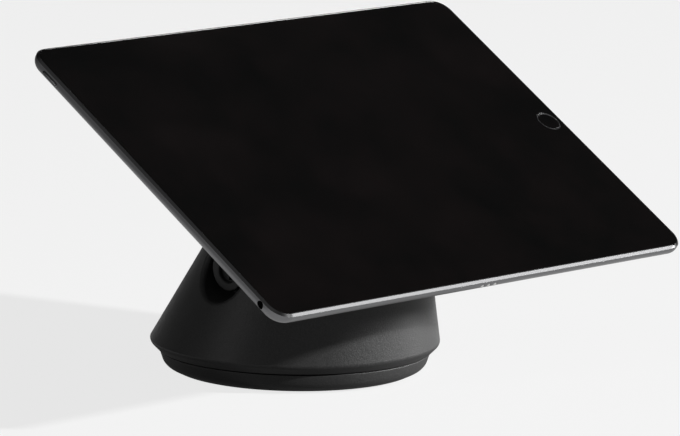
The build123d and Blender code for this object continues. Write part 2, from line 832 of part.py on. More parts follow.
# Tablet case: a shallow metal tub, chamfered in front and rounded behind
with BuildPart() as tablet_case:
    with BuildSketch(behind_glass(tablet_thickness)):
        RectangleRounded(tablet_length, tablet_width, tablet_corner)
    extrude(amount=tablet_thickness)
    fillet(tablet_case.faces().sort_by(tilt_axis)[0].edges(), case_back_radius)
    chamfer(tablet_case.faces().sort_by(tilt_axis)[-1].edges(), case_chamfer)
    with BuildSketch(glass_plane):
        RectangleRounded(
            tablet_length - 2 * glass_inset,
            tablet_width - 2 * glass_inset,
            tablet_corner - glass_inset,
        )
    extrude(amount=-glass_thickness, mode=Mode.SUBTRACT)
    with BuildSketch(behind_glass(glass_thickness)):
        RectangleRounded(pocket_length, pocket_width, tablet_corner - case_side_wall)
    extrude(amount=glass_thickness - pocket_end_depth, mode=Mode.SUBTRACT)
    with BuildSketch(glass_plane):
        with Locations((home_offset, 0)):
            Circle(home_ring_radius + seat_play)
    extrude(amount=-home_button_depth - home_switch_dome / 2, mode=Mode.SUBTRACT)
    with BuildSketch(behind_glass(tablet_thickness)):
        with Locations(rear_camera_place):
            Circle(rear_camera_radius + seat_play)
    extrude(amount=case_back_wall, mode=Mode.SUBTRACT)
    with BuildSketch(left_end):
        with Locations((-audio_jack_offset, -audio_jack_depth)):
            Circle(audio_jack_radius)
        with Locations((power_key_offset, -edge_depth)):
            SlotOverall(key_length + 2 * seat_play, key_height + 2 * seat_play)
    extrude(amount=case_side_wall, mode=Mode.SUBTRACT)
    with BuildSketch(right_end):
        with Locations((0, -charge_slot_depth)):
            SlotOverall(charge_slot_width, charge_slot_height)
        for side in (-1, 1):
            with Locations((side * speaker_offset, -edge_depth)):
                with GridLocations(grille_pitch, 1, grille_holes, 1):
                    Circle(grille_hole_radius)
    extrude(amount=-case_side_wall, mode=Mode.SUBTRACT)
    with BuildSketch(far_side):
        for key_place in volume_keys.values():
            with Locations((key_place, -edge_depth)):
                SlotOverall(key_length + 2 * seat_play, key_height + 2 * seat_play)
    extrude(amount=-case_side_wall, mode=Mode.SUBTRACT)
    with BuildSketch(near_side):
        with Locations((contact_offset, -contact_depth)):
            with GridLocations(contact_pitch, 1, contact_count, 1):
                Circle(contact_radius)
    extrude(amount=-contact_pin_depth, mode=Mode.SUBTRACT)
save(tablet_case.part, "tablet_case")

# Front glass, with the hole for the home button
with BuildPart() as front_glass:
    with BuildSketch(behind_glass(glass_thickness)):
        RectangleRounded(glass_length, glass_width, tablet_corner - glass_inset - seat_play)
        with Locations((home_offset, 0)):
            Circle(home_ring_radius + seat_play, mode=Mode.SUBTRACT)
    extrude(amount=glass_thickness)
save(front_glass.part, "front_glass")

# Screen under the glass
with BuildPart() as display_panel:
    with BuildSketch(behind_glass(screen_depth + screen_thickness)):
        Rectangle(screen_length, screen_width)
    extrude(amount=screen_thickness)
save(display_panel.part, "display_panel")

# Home button: a fixed ring, the button that travels in it and its switch
with BuildPart() as home_ring:
    with BuildSketch(behind_glass(glass_thickness + home_button_depth)):
        with Locations((home_offset, 0)):
            Circle(home_ring_radius)
            Circle(home_ring_radius - home_ring_width, mode=Mode.SUBTRACT)
    extrude(amount=glass_thickness + home_button_depth)
save(home_ring.part, "home_ring")

home_button_front = seat_play
home_button_back = home_button_front + home_button_depth
with BuildPart() as home_button:
    with BuildSketch(behind_glass(home_button_back)):
        with Locations((home_offset, 0)):
            Circle(home_ring_radius - home_ring_width - running_fit)
    extrude(amount=home_button_depth)
save(home_button.part, "home_button")

home_switch_front = home_button_back + home_travel + running_fit
home_switch_middle = home_switch_front + home_switch_thickness
home_switch_back = home_switch_middle + home_switch_thickness
with BuildPart() as home_switch:
    with BuildSketch(behind_glass(home_switch_back)):
        with Locations((home_offset, 0)):
            Rectangle(home_switch_length, 2 * home_ring_radius)
    extrude(amount=home_switch_thickness)
    with BuildSketch(behind_glass(home_switch_middle)):
        with Locations((home_offset, 0)):
            Circle(home_switch_dome)
    extrude(amount=home_switch_thickness)
save(home_switch.part, "home_switch")

# Cameras
with BuildPart() as front_camera:
    with BuildSketch(behind_glass(pocket_end_depth)):
        with Locations((-front_camera_offset, 0)):
            Circle(front_camera_radius)
    extrude(amount=pocket_end_depth - glass_thickness)
save(front_camera.part, "front_camera")

with BuildPart() as rear_camera:
    with BuildSketch(behind_glass(tablet_thickness)):
        with Locations(rear_camera_place):
            Circle(rear_camera_radius)
    extrude(amount=rear_camera_length)
save(rear_camera.part, "rear_camera")

# Two battery cells, one each side of the board
board_top_depth = pocket_end_depth - board_thickness
with BuildPart() as battery:
    with BuildSketch(behind_glass(pocket_end_depth)):
        with GridLocations(battery_length + board_width + 2 * body_gap, 1, 2, 1):
            RectangleRounded(battery_length, battery_width, battery_corner)
    extrude(amount=battery_thickness)
save(battery.part, "battery")

# Main board with its shielded chips
with BuildPart() as main_board:
    with BuildSketch(behind_glass(pocket_end_depth)):
        Rectangle(board_width, battery_width)
    extrude(amount=board_thickness)
    with BuildSketch(behind_glass(board_top_depth)):
        with GridLocations(1, battery_width / 4, 1, 4):
            Rectangle(chip_side, chip_side)
    extrude(amount=chip_thickness)
save(main_board.part, "main_board")

# Speaker boxes behind the grilles
with BuildPart() as speakers:
    with BuildSketch(behind_glass(pocket_end_depth)):
        with Locations((pocket_length / 2 - speaker_width / 2, 0)):
            with GridLocations(1, 2 * speaker_offset, 1, 2):
                Rectangle(speaker_width, speaker_length)
    extrude(amount=speaker_height)
save(speakers.part, "speakers")

# Sockets in the ends of the tablet
with BuildPart() as audio_socket:
    with BuildSketch(left_end.offset(case_side_wall)):
        with Locations((-audio_jack_offset, -audio_jack_depth)):
            Rectangle(audio_socket_width, audio_socket_height)
            Circle(audio_jack_radius, mode=Mode.SUBTRACT)
    extrude(amount=audio_socket_length)
    with BuildSketch(left_end.offset(case_side_wall + audio_socket_length)):
        with Locations((-audio_jack_offset, -audio_jack_depth)):
            Rectangle(audio_socket_width, audio_socket_height)
    extrude(amount=audio_socket_end_wall)
save(audio_socket.part, "audio_socket")

with BuildPart() as charge_socket:
    with BuildSketch(right_end.offset(-case_side_wall - charge_socket_length)):
        with Locations((0, -charge_slot_depth)):
            Rectangle(
                charge_slot_width + 2 * charge_socket_wall,
                charge_slot_height + 2 * charge_socket_wall,
            )
    extrude(amount=charge_socket_length)
    with BuildSketch(right_end.offset(-case_side_wall)):
        with Locations((0, -charge_slot_depth)):
            SlotOverall(charge_slot_width, charge_slot_height)
    extrude(amount=charge_socket_wall - charge_socket_length, mode=Mode.SUBTRACT)
save(charge_socket.part, "charge_socket")

# Contact pins in the near side
with BuildPart() as contact_pins:
    with BuildSketch(near_side.offset(-contact_pin_depth)):
        with Locations((contact_offset, -contact_depth)):
            with GridLocations(contact_pitch, 1, contact_count, 1):
                Circle(contact_radius)
    extrude(amount=contact_pin_depth - seat_play)
save(contact_pins.part, "contact_pins")

# Sprung keys in the tablet's edge, each with a flange inside the wall
with BuildPart() as power_button:
    with BuildSketch(left_end.offset(-key_proud)):
        with Locations((power_key_offset, -edge_depth)):
            SlotOverall(key_length, key_height)
    extrude(amount=key_proud + key_root)
save(power_button.part, "power_button")

for key_name, key_place in volume_keys.items():
    with BuildPart() as volume_key:
        with BuildSketch(far_side.offset(key_proud)):
            with Locations((key_place, -edge_depth)):
                SlotOverall(key_length, key_height)
        extrude(amount=-key_proud - key_root)
    save(volume_key.part, key_name)
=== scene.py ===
import json
import math

import bpy
from mathutils import Matrix, Vector

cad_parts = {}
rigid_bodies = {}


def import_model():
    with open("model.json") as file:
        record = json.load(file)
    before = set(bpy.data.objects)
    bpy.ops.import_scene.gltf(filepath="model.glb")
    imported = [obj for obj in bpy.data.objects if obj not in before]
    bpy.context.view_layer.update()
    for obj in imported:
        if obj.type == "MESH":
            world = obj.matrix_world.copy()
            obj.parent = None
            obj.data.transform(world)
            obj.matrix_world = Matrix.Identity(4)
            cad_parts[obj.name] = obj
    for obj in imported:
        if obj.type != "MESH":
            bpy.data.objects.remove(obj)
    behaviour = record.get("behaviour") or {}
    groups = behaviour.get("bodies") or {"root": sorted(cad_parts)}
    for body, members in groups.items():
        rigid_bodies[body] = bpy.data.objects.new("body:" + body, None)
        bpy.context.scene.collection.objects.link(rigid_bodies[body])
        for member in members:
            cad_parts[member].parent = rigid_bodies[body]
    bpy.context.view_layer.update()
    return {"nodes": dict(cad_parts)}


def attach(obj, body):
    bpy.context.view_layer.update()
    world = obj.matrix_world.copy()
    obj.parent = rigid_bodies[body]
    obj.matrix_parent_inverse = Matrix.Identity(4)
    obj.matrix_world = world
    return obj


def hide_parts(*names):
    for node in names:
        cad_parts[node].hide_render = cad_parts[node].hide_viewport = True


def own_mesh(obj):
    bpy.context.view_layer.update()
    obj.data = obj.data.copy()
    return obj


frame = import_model()
nodes = frame["nodes"]

# Millimetres to metres
MM = 0.001

# Where the glass stands: tilt from level, height and reach of its centre
TILT = math.radians(32.0)
GLASS_CENTRE = Vector((0, -39.8, 101.0)) * MM
GLASS_NORMAL = Vector((0, -math.sin(TILT), math.cos(TILT)))
GLASS_UP = Vector((0, math.cos(TILT), math.sin(TILT)))

# Tablet, in millimetres, laid out on the glass with its centre at the origin
TABLET_LENGTH = 250.6
TABLET_WIDTH = 174.1
TABLET_THICKNESS = 6.1
GLASS_LENGTH = 248.2
GLASS_WIDTH = 171.7
GLASS_CORNER = 7.3
GLASS_THICKNESS = 0.7
CASE_CHAMFER = 0.95
HOME_PLACE = TABLET_LENGTH / 2 - 8.5
HOME_HOLE_RADIUS = 5.7
HOME_RING_RADIUS = 5.6
HOME_BUTTON_RADIUS = 5.05
FRONT_CAMERA_PLACE = 8.3 - TABLET_LENGTH / 2
FRONT_CAMERA_RADIUS = 1.5
REAR_CAMERA_PLACE = (11.5 - TABLET_LENGTH / 2, TABLET_WIDTH / 2 - 11.5)
REAR_CAMERA_RADIUS = 4.0
EDGE_DEPTH = 3.05
KEY_LENGTH = 10.0
KEY_HEIGHT = 2.2
KEY_SPAN = 4.3
KEY_PROUD = 0.4
POWER_KEY_PLACE = TABLET_WIDTH / 2 - 16.55
VOLUME_KEY_PLACES = {"volume_up": 92.5, "volume_down": 79.5}
CONTACT_PLACE = 0.6
CONTACT_PITCH = 3.9
CONTACT_RADIUS = 1.0
CONTACT_LENGTH = 2.9
CONTACT_DEPTH = 3.2
CONTACT_SUNK = 0.1

# Width of the photograph in pixels, and the camera solved for it
PHOTO_WIDTH = 680
PHOTO_FOCAL = 5354.35
CAMERA_PLACE = Vector((-1622.33, -1586.27, 462.91)) * MM
CAMERA_RIGHT = Vector((0.69501, -0.71885, 0.01479))
CAMERA_DOWN = Vector((-0.11370, -0.13020, -0.98495))

# The floor's colour, which takes the light and shadow, and the even glow that the camera adds to it
FLOOR_SHADE = 0.19
FLOOR_GLOW = 0.778

# What the camera sees behind the floor
BACKDROP_SHADE = 0.888

# The point that the lamps look at, in metres
LAMP_TARGET = Vector((0, -0.02, 0.07))

# Finest difference that counts when edges are picked by their place, in metres
NEAR = 0.00002

# Colours of the tablet's case: blasted, and cut bright round the glass
CASE_GREY = (0.175, 0.175, 0.18)
CASE_CUT = (0.3, 0.3, 0.305)


def from_glass():
    """Turns coordinates laid out on the glass into the object's own."""
    turn = Matrix((Vector((1, 0, 0)), GLASS_UP, GLASS_NORMAL)).transposed()
    return Matrix.Translation(GLASS_CENTRE) @ turn.to_4x4()


GLASS_TO_WORLD = from_glass()


def grey(shade):
    """A neutral colour."""
    return (shade, shade, shade)


def new_material(name, colour, roughness, metallic=0.0, specular=0.5):
    """A material with its whole-surface values set on the shader."""
    material = bpy.data.materials.new(name)
    material.use_nodes = True
    shader = material.node_tree.nodes["Principled BSDF"]
    shader.inputs["Base Color"].default_value = (*colour, 1)
    shader.inputs["Roughness"].default_value = roughness
    shader.inputs["Metallic"].default_value = metallic
    shader.inputs["Specular IOR Level"].default_value = specular
    return material, shader


def noise(material, scale, detail=2.0, roughness=0.5):
    """A noise texture on Object coordinates, scale in features per metre."""
    texture = material.node_tree.nodes.new("ShaderNodeTexNoise")
    texture.inputs["Scale"].default_value = scale
    texture.inputs["Detail"].default_value = detail
    texture.inputs["Roughness"].default_value = roughness
    coordinates = material.node_tree.nodes.new("ShaderNodeTexCoord")
    material.node_tree.links.new(coordinates.outputs["Object"], texture.inputs["Vector"])
    return texture.outputs["Fac"]


def ramp(tree, value, start, end, low, high):
    """Maps the range from start to end to that from low to high, held at both ends."""
    node = tree.nodes.new("ShaderNodeMapRange")
    node.inputs["From Min"].default_value = start
    node.inputs["From Max"].default_value = end
    node.inputs["To Min"].default_value = low
    node.inputs["To Max"].default_value = high
    tree.links.new(value, node.inputs["Value"])
    return node.outputs["Result"]


def spread(material, value, low, high, start=0.3, end=0.7):
    """Maps a texture's middle range to low and high."""
    return ramp(material.node_tree, value, start, end, low, high)


def tint(material, shader, value, dark, light):
    """Colours the surface between two colours by a texture."""
    mix = material.node_tree.nodes.new("ShaderNodeMix")
    mix.data_type = "RGBA"
    mix.inputs["A"].default_value = (*dark, 1)
    mix.inputs["B"].default_value = (*light, 1)
    material.node_tree.links.new(value, mix.inputs["Factor"])
    material.node_tree.links.new(mix.outputs["Result"], shader.inputs["Base Color"])


def vary_gloss(material, shader, value, low, high):
    """Varies the roughness from low to high by a texture."""
    material.node_tree.links.new(spread(material, value, low, high), shader.inputs["Roughness"])


def bump(material, shader, value, distance, strength=1.0):
    """Raises the surface by a texture, distance in metres."""
    node = material.node_tree.nodes.new("ShaderNodeBump")
    node.inputs["Distance"].default_value = distance
    node.inputs["Strength"].default_value = strength
    material.node_tree.links.new(value, node.inputs["Height"])
    material.node_tree.links.new(node.outputs["Normal"], shader.inputs["Normal"])


def moulded_plastic(name, shade, roughness=0.42, grain=1600.0, depth=0.00006, specular=0.3):
    """Moulded plastic, or paint, lacquer or wrap, with a fine even grain."""
    material, shader = new_material(name, grey(shade), roughness, specular=specular)
    fine = noise(material, grain, detail=3.0, roughness=0.6)
    tint(material, shader, spread(material, fine, 0, 1), grey(shade * 0.75), grey(shade * 1.3))
    vary_gloss(material, shader, fine, roughness - 0.08, roughness + 0.1)
    bump(material, shader, fine, depth)
    return material


def blasted_metal(name, colour, roughness=0.35, grain=6000.0):
    """Bead-blasted, anodised metal."""
    material, shader = new_material(name, colour, roughness, metallic=1.0)
    fine = noise(material, grain)
    vary_gloss(material, shader, fine, roughness - 0.05, roughness + 0.06)
    bump(material, shader, fine, distance=0.00002, strength=0.6)
    return material


def case_finish(name, colour, cut_colour, roughness=0.33, cut_roughness=0.16, grain=6000.0):
    """Bead-blasted metal whose chamfer round the glass is cut bright, told apart by its depth."""
    material, shader = new_material(name, colour, roughness, metallic=1.0)
    tree = material.node_tree
    coordinates = tree.nodes.new("ShaderNodeTexCoord")
    along = tree.nodes.new("ShaderNodeVectorMath")
    along.operation = "DOT_PRODUCT"
    along.inputs[1].default_value = GLASS_NORMAL
    tree.links.new(coordinates.outputs["Object"], along.inputs[0])
    level = GLASS_CENTRE.dot(GLASS_NORMAL)
    blur = 0.02
    blasted_side = level - (CASE_CHAMFER + blur) * MM
    cut_side = level - (CASE_CHAMFER - blur) * MM
    is_cut = ramp(tree, along.outputs["Value"], blasted_side, cut_side, 0, 1)
    tint(material, shader, is_cut, colour, cut_colour)
    fine = noise(material, grain)
    blasted = spread(material, fine, roughness - 0.05, roughness + 0.06)
    gloss = tree.nodes.new("ShaderNodeMix")
    tree.links.new(is_cut, gloss.inputs["Factor"])
    tree.links.new(blasted, gloss.inputs["A"])
    gloss.inputs["B"].default_value = cut_roughness
    tree.links.new(gloss.outputs["Result"], shader.inputs["Roughness"])
    return material


def polished_black(name, shade=0.002, roughness=0.06, specular=0.4):
    """Glass with a black print behind it, with faint wiped smears on it."""
    material, shader = new_material(name, grey(shade), roughness, specular=specular)
    smear = noise(material, scale=22.0, detail=5.0, roughness=0.65)
    cloud = spread(material, smear, 0, 1, start=0.35, end=0.75)
    tint(material, shader, cloud, grey(shade), (shade * 2.0, shade * 1.5, shade * 1.5))
    vary_gloss(material, shader, smear, roughness, roughness + 0.08)
    return material


def turned_metal(name, colour, roughness=0.3):
    """Machined or pressed metal with fine uneven gloss."""
    material, shader = new_material(name, colour, roughness, metallic=1.0)
    wear = noise(material, scale=400.0, detail=5.0, roughness=0.65)
    vary_gloss(material, shader, wear, roughness - 0.1, roughness + 0.12)
    bump(material, shader, wear, distance=0.00003, strength=0.5)
    return material


def soft_rubber(name, shade):
    """Matt rubber."""
    material, shader = new_material(name, grey(shade), roughness=0.75, specular=0.3)
    fine = noise(material, scale=1200.0, detail=3.0)
    tint(material, shader, spread(material, fine, 0, 1), grey(shade * 0.8), grey(shade * 1.3))
    bump(material, shader, fine, distance=0.00004)
    return material


shell_grain = {"shade": 0.035, "roughness": 0.42, "grain": 1500.0, "depth": 0.00011, "specular": 0.33}
shell_plastic = moulded_plastic("charcoal_grained_plastic", **shell_grain)
plinth_plastic = moulded_plastic("charcoal_plinth_plastic", **shell_grain)
# The knob's plastic is darker than the shell's: partly its own charcoal, partly painted shade for its place
# deep in the port
knob_plastic_with_painted_shade = moulded_plastic("charcoal_knob_plastic", shade=0.022, roughness=0.5, depth=0.00003)
dish_plastic = moulded_plastic("charcoal_dish_plastic", shade=0.03, roughness=0.45, depth=0.00003)
inner_plastic = moulded_plastic("black_inner_plastic", shade=0.03, roughness=0.5)
bearing_plastic = moulded_plastic("white_bearing_plastic", shade=0.7, roughness=0.35, depth=0.00002)
case_metal = case_finish("grey_anodised_case", CASE_GREY, CASE_CUT)
key_metal = blasted_metal("grey_anodised_keys", CASE_GREY, roughness=0.3)
plain_steel = turned_metal("plated_steel", grey(0.55))
cast_iron = turned_metal("cast_iron", grey(0.12), roughness=0.65)
painted_steel = moulded_plastic("black_painted_steel", shade=0.03, roughness=0.4)
turned_aluminium = turned_metal("turned_aluminium", (0.6, 0.6, 0.61))
brass = turned_metal("turned_brass", (0.6, 0.42, 0.16))
contact_metal = turned_metal("plated_contacts", (0.6, 0.6, 0.59), roughness=0.35)
ring_metal = turned_metal("satin_ring", (0.18, 0.18, 0.185), roughness=0.35)
front_black = polished_black("black_front_glass")
button_black = polished_black("black_button_glass", roughness=0.07)
lens_black = polished_black("dark_lens_glass", roughness=0.03, specular=0.8)
screen_black = polished_black("screen_off", shade=0.004, roughness=0.2)
cup_rubber = soft_rubber("black_cup_rubber", shade=0.03)
foot_rubber = soft_rubber("black_foot_rubber", shade=0.025)
cell_foil = moulded_plastic("black_cell_wrap", shade=0.04, roughness=0.4)
board_lacquer = moulded_plastic("dark_board_lacquer", shade=0.03, roughness=0.3)

# What each node of the frame is made of
finishes = {
    "foot_pad": foot_rubber,
    "plinth": plinth_plastic,
    "ballast": cast_iron,
    "glide_ring": bearing_plastic,
    "pivot_bolt": plain_steel,
    "pivot_washer": plain_steel,
    "pivot_nut": plain_steel,
    "cone_shell": shell_plastic,
    "floor_plate": painted_steel,
    "floor_screws": plain_steel,
    "shaft_bracket": painted_steel,
    "bracket_screws": plain_steel,
    "knob_bush": brass,
    "neck_plate": turned_aluminium,
    "wear_ring": bearing_plastic,
    "guide_housing": inner_plastic,
    "neck_screws": plain_steel,
    "knob": knob_plastic_with_painted_shade,
    "crank_shaft": plain_steel,
    "yoke": bearing_plastic,
    "head_dish": dish_plastic,
    "head_nut": turned_aluminium,
    "suction_cup": cup_rubber,
    "stem": plain_steel,
    "tablet_case": case_metal,
    "front_glass": front_black,
    "display_panel": screen_black,
    "home_ring": ring_metal,
    "home_switch": plain_steel,
    "front_camera": lens_black,
    "rear_camera": lens_black,
    "battery": cell_foil,
    "main_board": board_lacquer,
    "speakers": inner_plastic,
    "audio_socket": inner_plastic,
    "charge_socket": inner_plastic,
    "contact_pins": contact_metal,
    "home_button": button_black,
    "power_button": key_metal,
    "volume_up": key_metal,
    "volume_down": key_metal,
}
for node_name, finish in finishes.items():
    cad_object = nodes[node_name]
    cad_object.data.materials.clear()
    cad_object.data.materials.append(finish)


def only(piece):
    """Selects one piece and makes it the one that operators act on."""
    bpy.ops.object.select_all(action="DESELECT")
    piece.select_set(True)
    bpy.context.view_layer.objects.active = piece


def turned(name, rings, solid=True, segments=128):
    """A piece turned about Z: a circle extruded ring by ring through (radius, height) in millimetres.

    A solid piece is filled at its first and last ring. Any other one is closed back to its first ring.
    """
    bpy.ops.object.select_all(action="DESELECT")
    radius, height = rings[0]
    bpy.ops.mesh.primitive_circle_add(
        vertices=segments,
        radius=radius * MM,
        fill_type="NGON" if solid else "NOTHING",
        location=(0, 0, height * MM),
    )
    piece = bpy.context.object
    piece.name = name
    bpy.ops.object.transform_apply(location=True)
    bpy.ops.object.mode_set(mode="EDIT")
    # By vertices, because a circle that isn't filled has no face to select
    bpy.ops.mesh.select_mode(type="VERT")
    bpy.ops.mesh.select_all(action="SELECT")
    for next_radius, next_height in rings[1:] + ([] if solid else rings[:1]):
        rise = (next_height - height) * MM
        bpy.ops.mesh.extrude_region_move(TRANSFORM_OT_translate={"value": (0, 0, rise)})
        growth = next_radius / radius
        bpy.ops.transform.resize(value=(growth, growth, 1), center_override=(0, 0, 0))
        radius, height = next_radius, next_height
    bpy.ops.mesh.select_all(action="SELECT")
    bpy.ops.mesh.remove_doubles(threshold=0.000001)
    bpy.ops.mesh.normals_make_consistent(inside=False)
    bpy.ops.object.mode_set(mode="OBJECT")
    return piece


def shares(steps):
    """Even shares of a curve, from its first step to the whole of it."""
    return [step / steps for step in range(1, steps + 1)]


def start_picking(piece, kind):
    """Leaves nothing of a piece selected, with edges or faces as what is picked."""
    only(piece)
    bpy.ops.object.mode_set(mode="EDIT")
    bpy.ops.mesh.select_mode(type=kind)
    bpy.ops.mesh.select_all(action="DESELECT")
    bpy.ops.object.mode_set(mode="OBJECT")


def pick_edges(piece, wanted):
    """Selects, in edit mode, the edges whose first and second end pass the test together."""
    start_picking(piece, "EDGE")
    points = piece.data.vertices
    for edge in piece.data.edges:
        first, second = (points[end].co for end in edge.vertices)
        edge.select = wanted(first, second)
    bpy.ops.object.mode_set(mode="EDIT")


def pick_rim(piece, wanted):
    """Selects, in edit mode, the edges whose two ends both pass the test."""
    pick_edges(piece, lambda first, second: wanted(first) and wanted(second))


def pick_faces(piece, wanted):
    """Selects, in edit mode, the faces that pass the test."""
    start_picking(piece, "FACE")
    for face in piece.data.polygons:
        face.select = wanted(face)
    bpy.ops.object.mode_set(mode="EDIT")


def round_picked(width, steps):
    """Bevels the picked edges, width in millimetres, and leaves edit mode."""
    bpy.ops.mesh.bevel(offset=width * MM, segments=steps, affect="EDGES", clamp_overlap=True)
    bpy.ops.object.mode_set(mode="OBJECT")


def round_ring(piece, radius, height, width, steps=4):
    """Rounds one ring of a turned piece, found by its radius and height in millimetres."""
    pick_rim(
        piece,
        lambda p: abs(math.hypot(p.x, p.y) - radius * MM) < NEAR and abs(p.z - height * MM) < NEAR,
    )
    round_picked(width, steps)


def soften(piece, width):
    """Breaks every sharp edge of a piece, width in millimetres."""
    only(piece)
    edges = piece.modifiers.new("edges", "BEVEL")
    edges.width = width * MM
    edges.segments = 2
    edges.limit_method = "ANGLE"
    edges.angle_limit = math.radians(35)
    bpy.ops.object.modifier_apply(modifier=edges.name)


def cut(piece, cutter):
    """Takes the cutter's shape out of a piece and deletes the cutter."""
    only(piece)
    hole = piece.modifiers.new("hole", "BOOLEAN")
    hole.operation = "DIFFERENCE"
    hole.solver = "EXACT"
    hole.object = cutter
    bpy.ops.object.modifier_apply(modifier=hole.name)
    bpy.data.objects.remove(cutter)


def copied(piece, name):
    """A copy of a piece with its own mesh."""
    twin = piece.copy()
    twin.data = piece.data.copy()
    twin.name = name
    bpy.context.scene.collection.objects.link(twin)
    return twin


def place(piece, matrix):
    """Moves a finished piece by a matrix and puts that into its mesh."""
    only(piece)
    piece.matrix_world = matrix @ piece.matrix_world
    bpy.ops.object.transform_apply(location=True, rotation=True, scale=True)


def on_glass(x=0.0, y=0.0, z=0.0):
    """The matrix that takes a piece modelled at the origin to a place on the glass, in millimetres."""
    return GLASS_TO_WORLD @ Matrix.Translation(Vector((x, y, z)) * MM)


def fit(piece, material, body, slot, *stands_for, smooth=40):
    """Finishes a piece: its material, smooth shading, the body it rides on and the nodes it stands for."""
    only(piece)
    piece.data.materials.clear()
    piece.data.materials.append(material)
    bpy.ops.object.shade_smooth_by_angle(angle=math.radians(smooth))
    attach(piece, body)
    if stands_for:
        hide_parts(*stands_for)


def make_foot():
    """Rubber foot with round grooves in its sole."""
    foot_radius = 48.9
    centre_radius = 10.0
    thickness = 1.2
    edge_break = 0.4
    groove_radii = (18.0, 25.0, 32.0, 39.0)
    groove_width = 2.4
    groove_depth = 0.5
    groove_slope = 0.3
    rings = [(centre_radius, 0.0)]
    for radius in groove_radii:
        end = radius + groove_width
        rings += [(radius, 0.0), (radius + groove_slope, groove_depth)]
        rings += [(end - groove_slope, groove_depth), (end, 0.0)]
    rings += [(foot_radius - edge_break, 0.0), (foot_radius, edge_break)]
    rings += [(foot_radius, thickness), (centre_radius, thickness)]
    foot = turned("foot_sole", rings)
    fit(foot, foot_rubber, "plinth", "foot_rubber", "foot_pad")


def make_plinth():
    """Plinth: a low tub with a softly rounded skirt and broken edges."""
    foot_radius = 49.1
    sole_radius = 51.6
    skirt_radius = 56.6
    rim_radius = 58.6
    well_radius = 50.1
    bolt_bore_radius = 5.05
    head_bore_radius = 9.1
    sole_height = 0.5
    foot_height = 1.2
    head_bore_height = 2.6
    skirt_height = 2.9
    well_height = 3.4
    rim_height = 8.8
    outside = [(foot_radius, sole_height), (sole_radius, sole_height), (skirt_radius, skirt_height)]
    inside = [(rim_radius, rim_height), (well_radius, rim_height), (well_radius, well_height)]
    bolt_bore = [(bolt_bore_radius, well_height), (bolt_bore_radius, head_bore_height)]
    head_bore = [(head_bore_radius, head_bore_height), (head_bore_radius, foot_height)]
    rings = outside + inside + bolt_bore + head_bore + [(foot_radius, foot_height)]
    plinth = turned("plinth_tub", rings, solid=False, segments=192)
    round_ring(plinth, skirt_radius, skirt_height, width=2.0, steps=6)
    round_ring(plinth, rim_radius, rim_height, width=0.45, steps=3)
    round_ring(plinth, sole_radius, sole_height, width=0.8, steps=4)
    round_ring(plinth, well_radius, rim_height, width=0.3, steps=2)
    fit(plinth, plinth_plastic, "plinth", "plinth_plastic", "plinth")


def make_dish():
    """Head dish: its hub, its seat for the cup and a rim with grip flutes."""
    stem_bore_radius = 3.25
    hub_radius = 14.0
    room_radius = 29.0
    seat_radius = 33.5
    back_radius = 35.0
    rim_radius = 36.0
    rim_height = -9.4
    flutes_top = -10.6
    seat_height = -11.2
    room_height = -15.2
    flutes_foot = -17.2
    back_height = -18.2
    hub_height = -30.0
    flutes = 72
    room = [(stem_bore_radius, room_height), (room_radius, room_height), (room_radius, seat_height)]
    seat = [(seat_radius, seat_height), (seat_radius, rim_height), (rim_radius, rim_height)]
    side = [(rim_radius, flutes_top), (rim_radius, flutes_foot), (back_radius, back_height)]
    hub = [(hub_radius, back_height), (hub_radius, hub_height), (stem_bore_radius, hub_height)]
    dish = turned("dish", room + seat + side + hub, solid=False, segments=2 * flutes)

    def is_flute(face):
        """Every other upright face on the rim's side."""
        x, y, z = face.center
        on_side = math.hypot(x, y) > back_radius * MM and z < flutes_top * MM
        count = math.floor(math.degrees(math.atan2(y, x)) / (180 / flutes))
        return abs(face.normal.z) < 0.1 and on_side and count % 2 == 0

    pick_faces(dish, is_flute)
    bpy.ops.mesh.inset(thickness=0.25 * MM, depth=-0.35 * MM, use_individual=True)
    bpy.ops.object.mode_set(mode="OBJECT")
    round_ring(dish, rim_radius, rim_height, width=0.8, steps=4)
    round_ring(dish, seat_radius, rim_height, width=0.3, steps=2)
    place(dish, GLASS_TO_WORLD)
    fit(dish, dish_plastic, "head", "head_plastic", "head_dish", smooth=30)


def make_cup():
    """Suction cup: a thin dished lip, a thick bead in the dish and a boss round the stem."""
    centre_radius = 0.6
    flat_radius = 8.0
    flat_height = -10.4
    dish_reach = 24.8
    dish_rise = 3.7
    face = [(centre_radius, flat_height), (flat_radius, flat_height)]
    for share in shares(steps=14):
        face.append((flat_radius + dish_reach * share, flat_height + dish_rise * share**1.6))
    lip = [(34.3, -6.45), (34.5, -6.6), (34.5, -6.8), (34.2, -7.3)]
    bead = [(33.4, -9.4), (33.4, -11.0), (33.1, -11.2), (29.0, -11.2), (24.0, -11.0), (16.0, -12.0)]
    boss = [(11.5, -12.6), (10.5, -13.2), (10.5, -14.5), (10.2, -14.8), (centre_radius, -14.8)]
    cup = turned("cup", face + lip + bead + boss, segments=160)
    place(cup, GLASS_TO_WORLD)
    fit(cup, cup_rubber, "head", "cup_rubber", "suction_cup", smooth=50)
    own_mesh(cup)


def drill_glass(glass, name, along, rings, segments):
    """Cuts a round hole into the glass, while it still lies level, at a place along its middle line."""
    drill = turned(name, rings, segments=segments)
    place(drill, Matrix.Translation((along * MM, 0, 0)))
    cut(glass, drill)


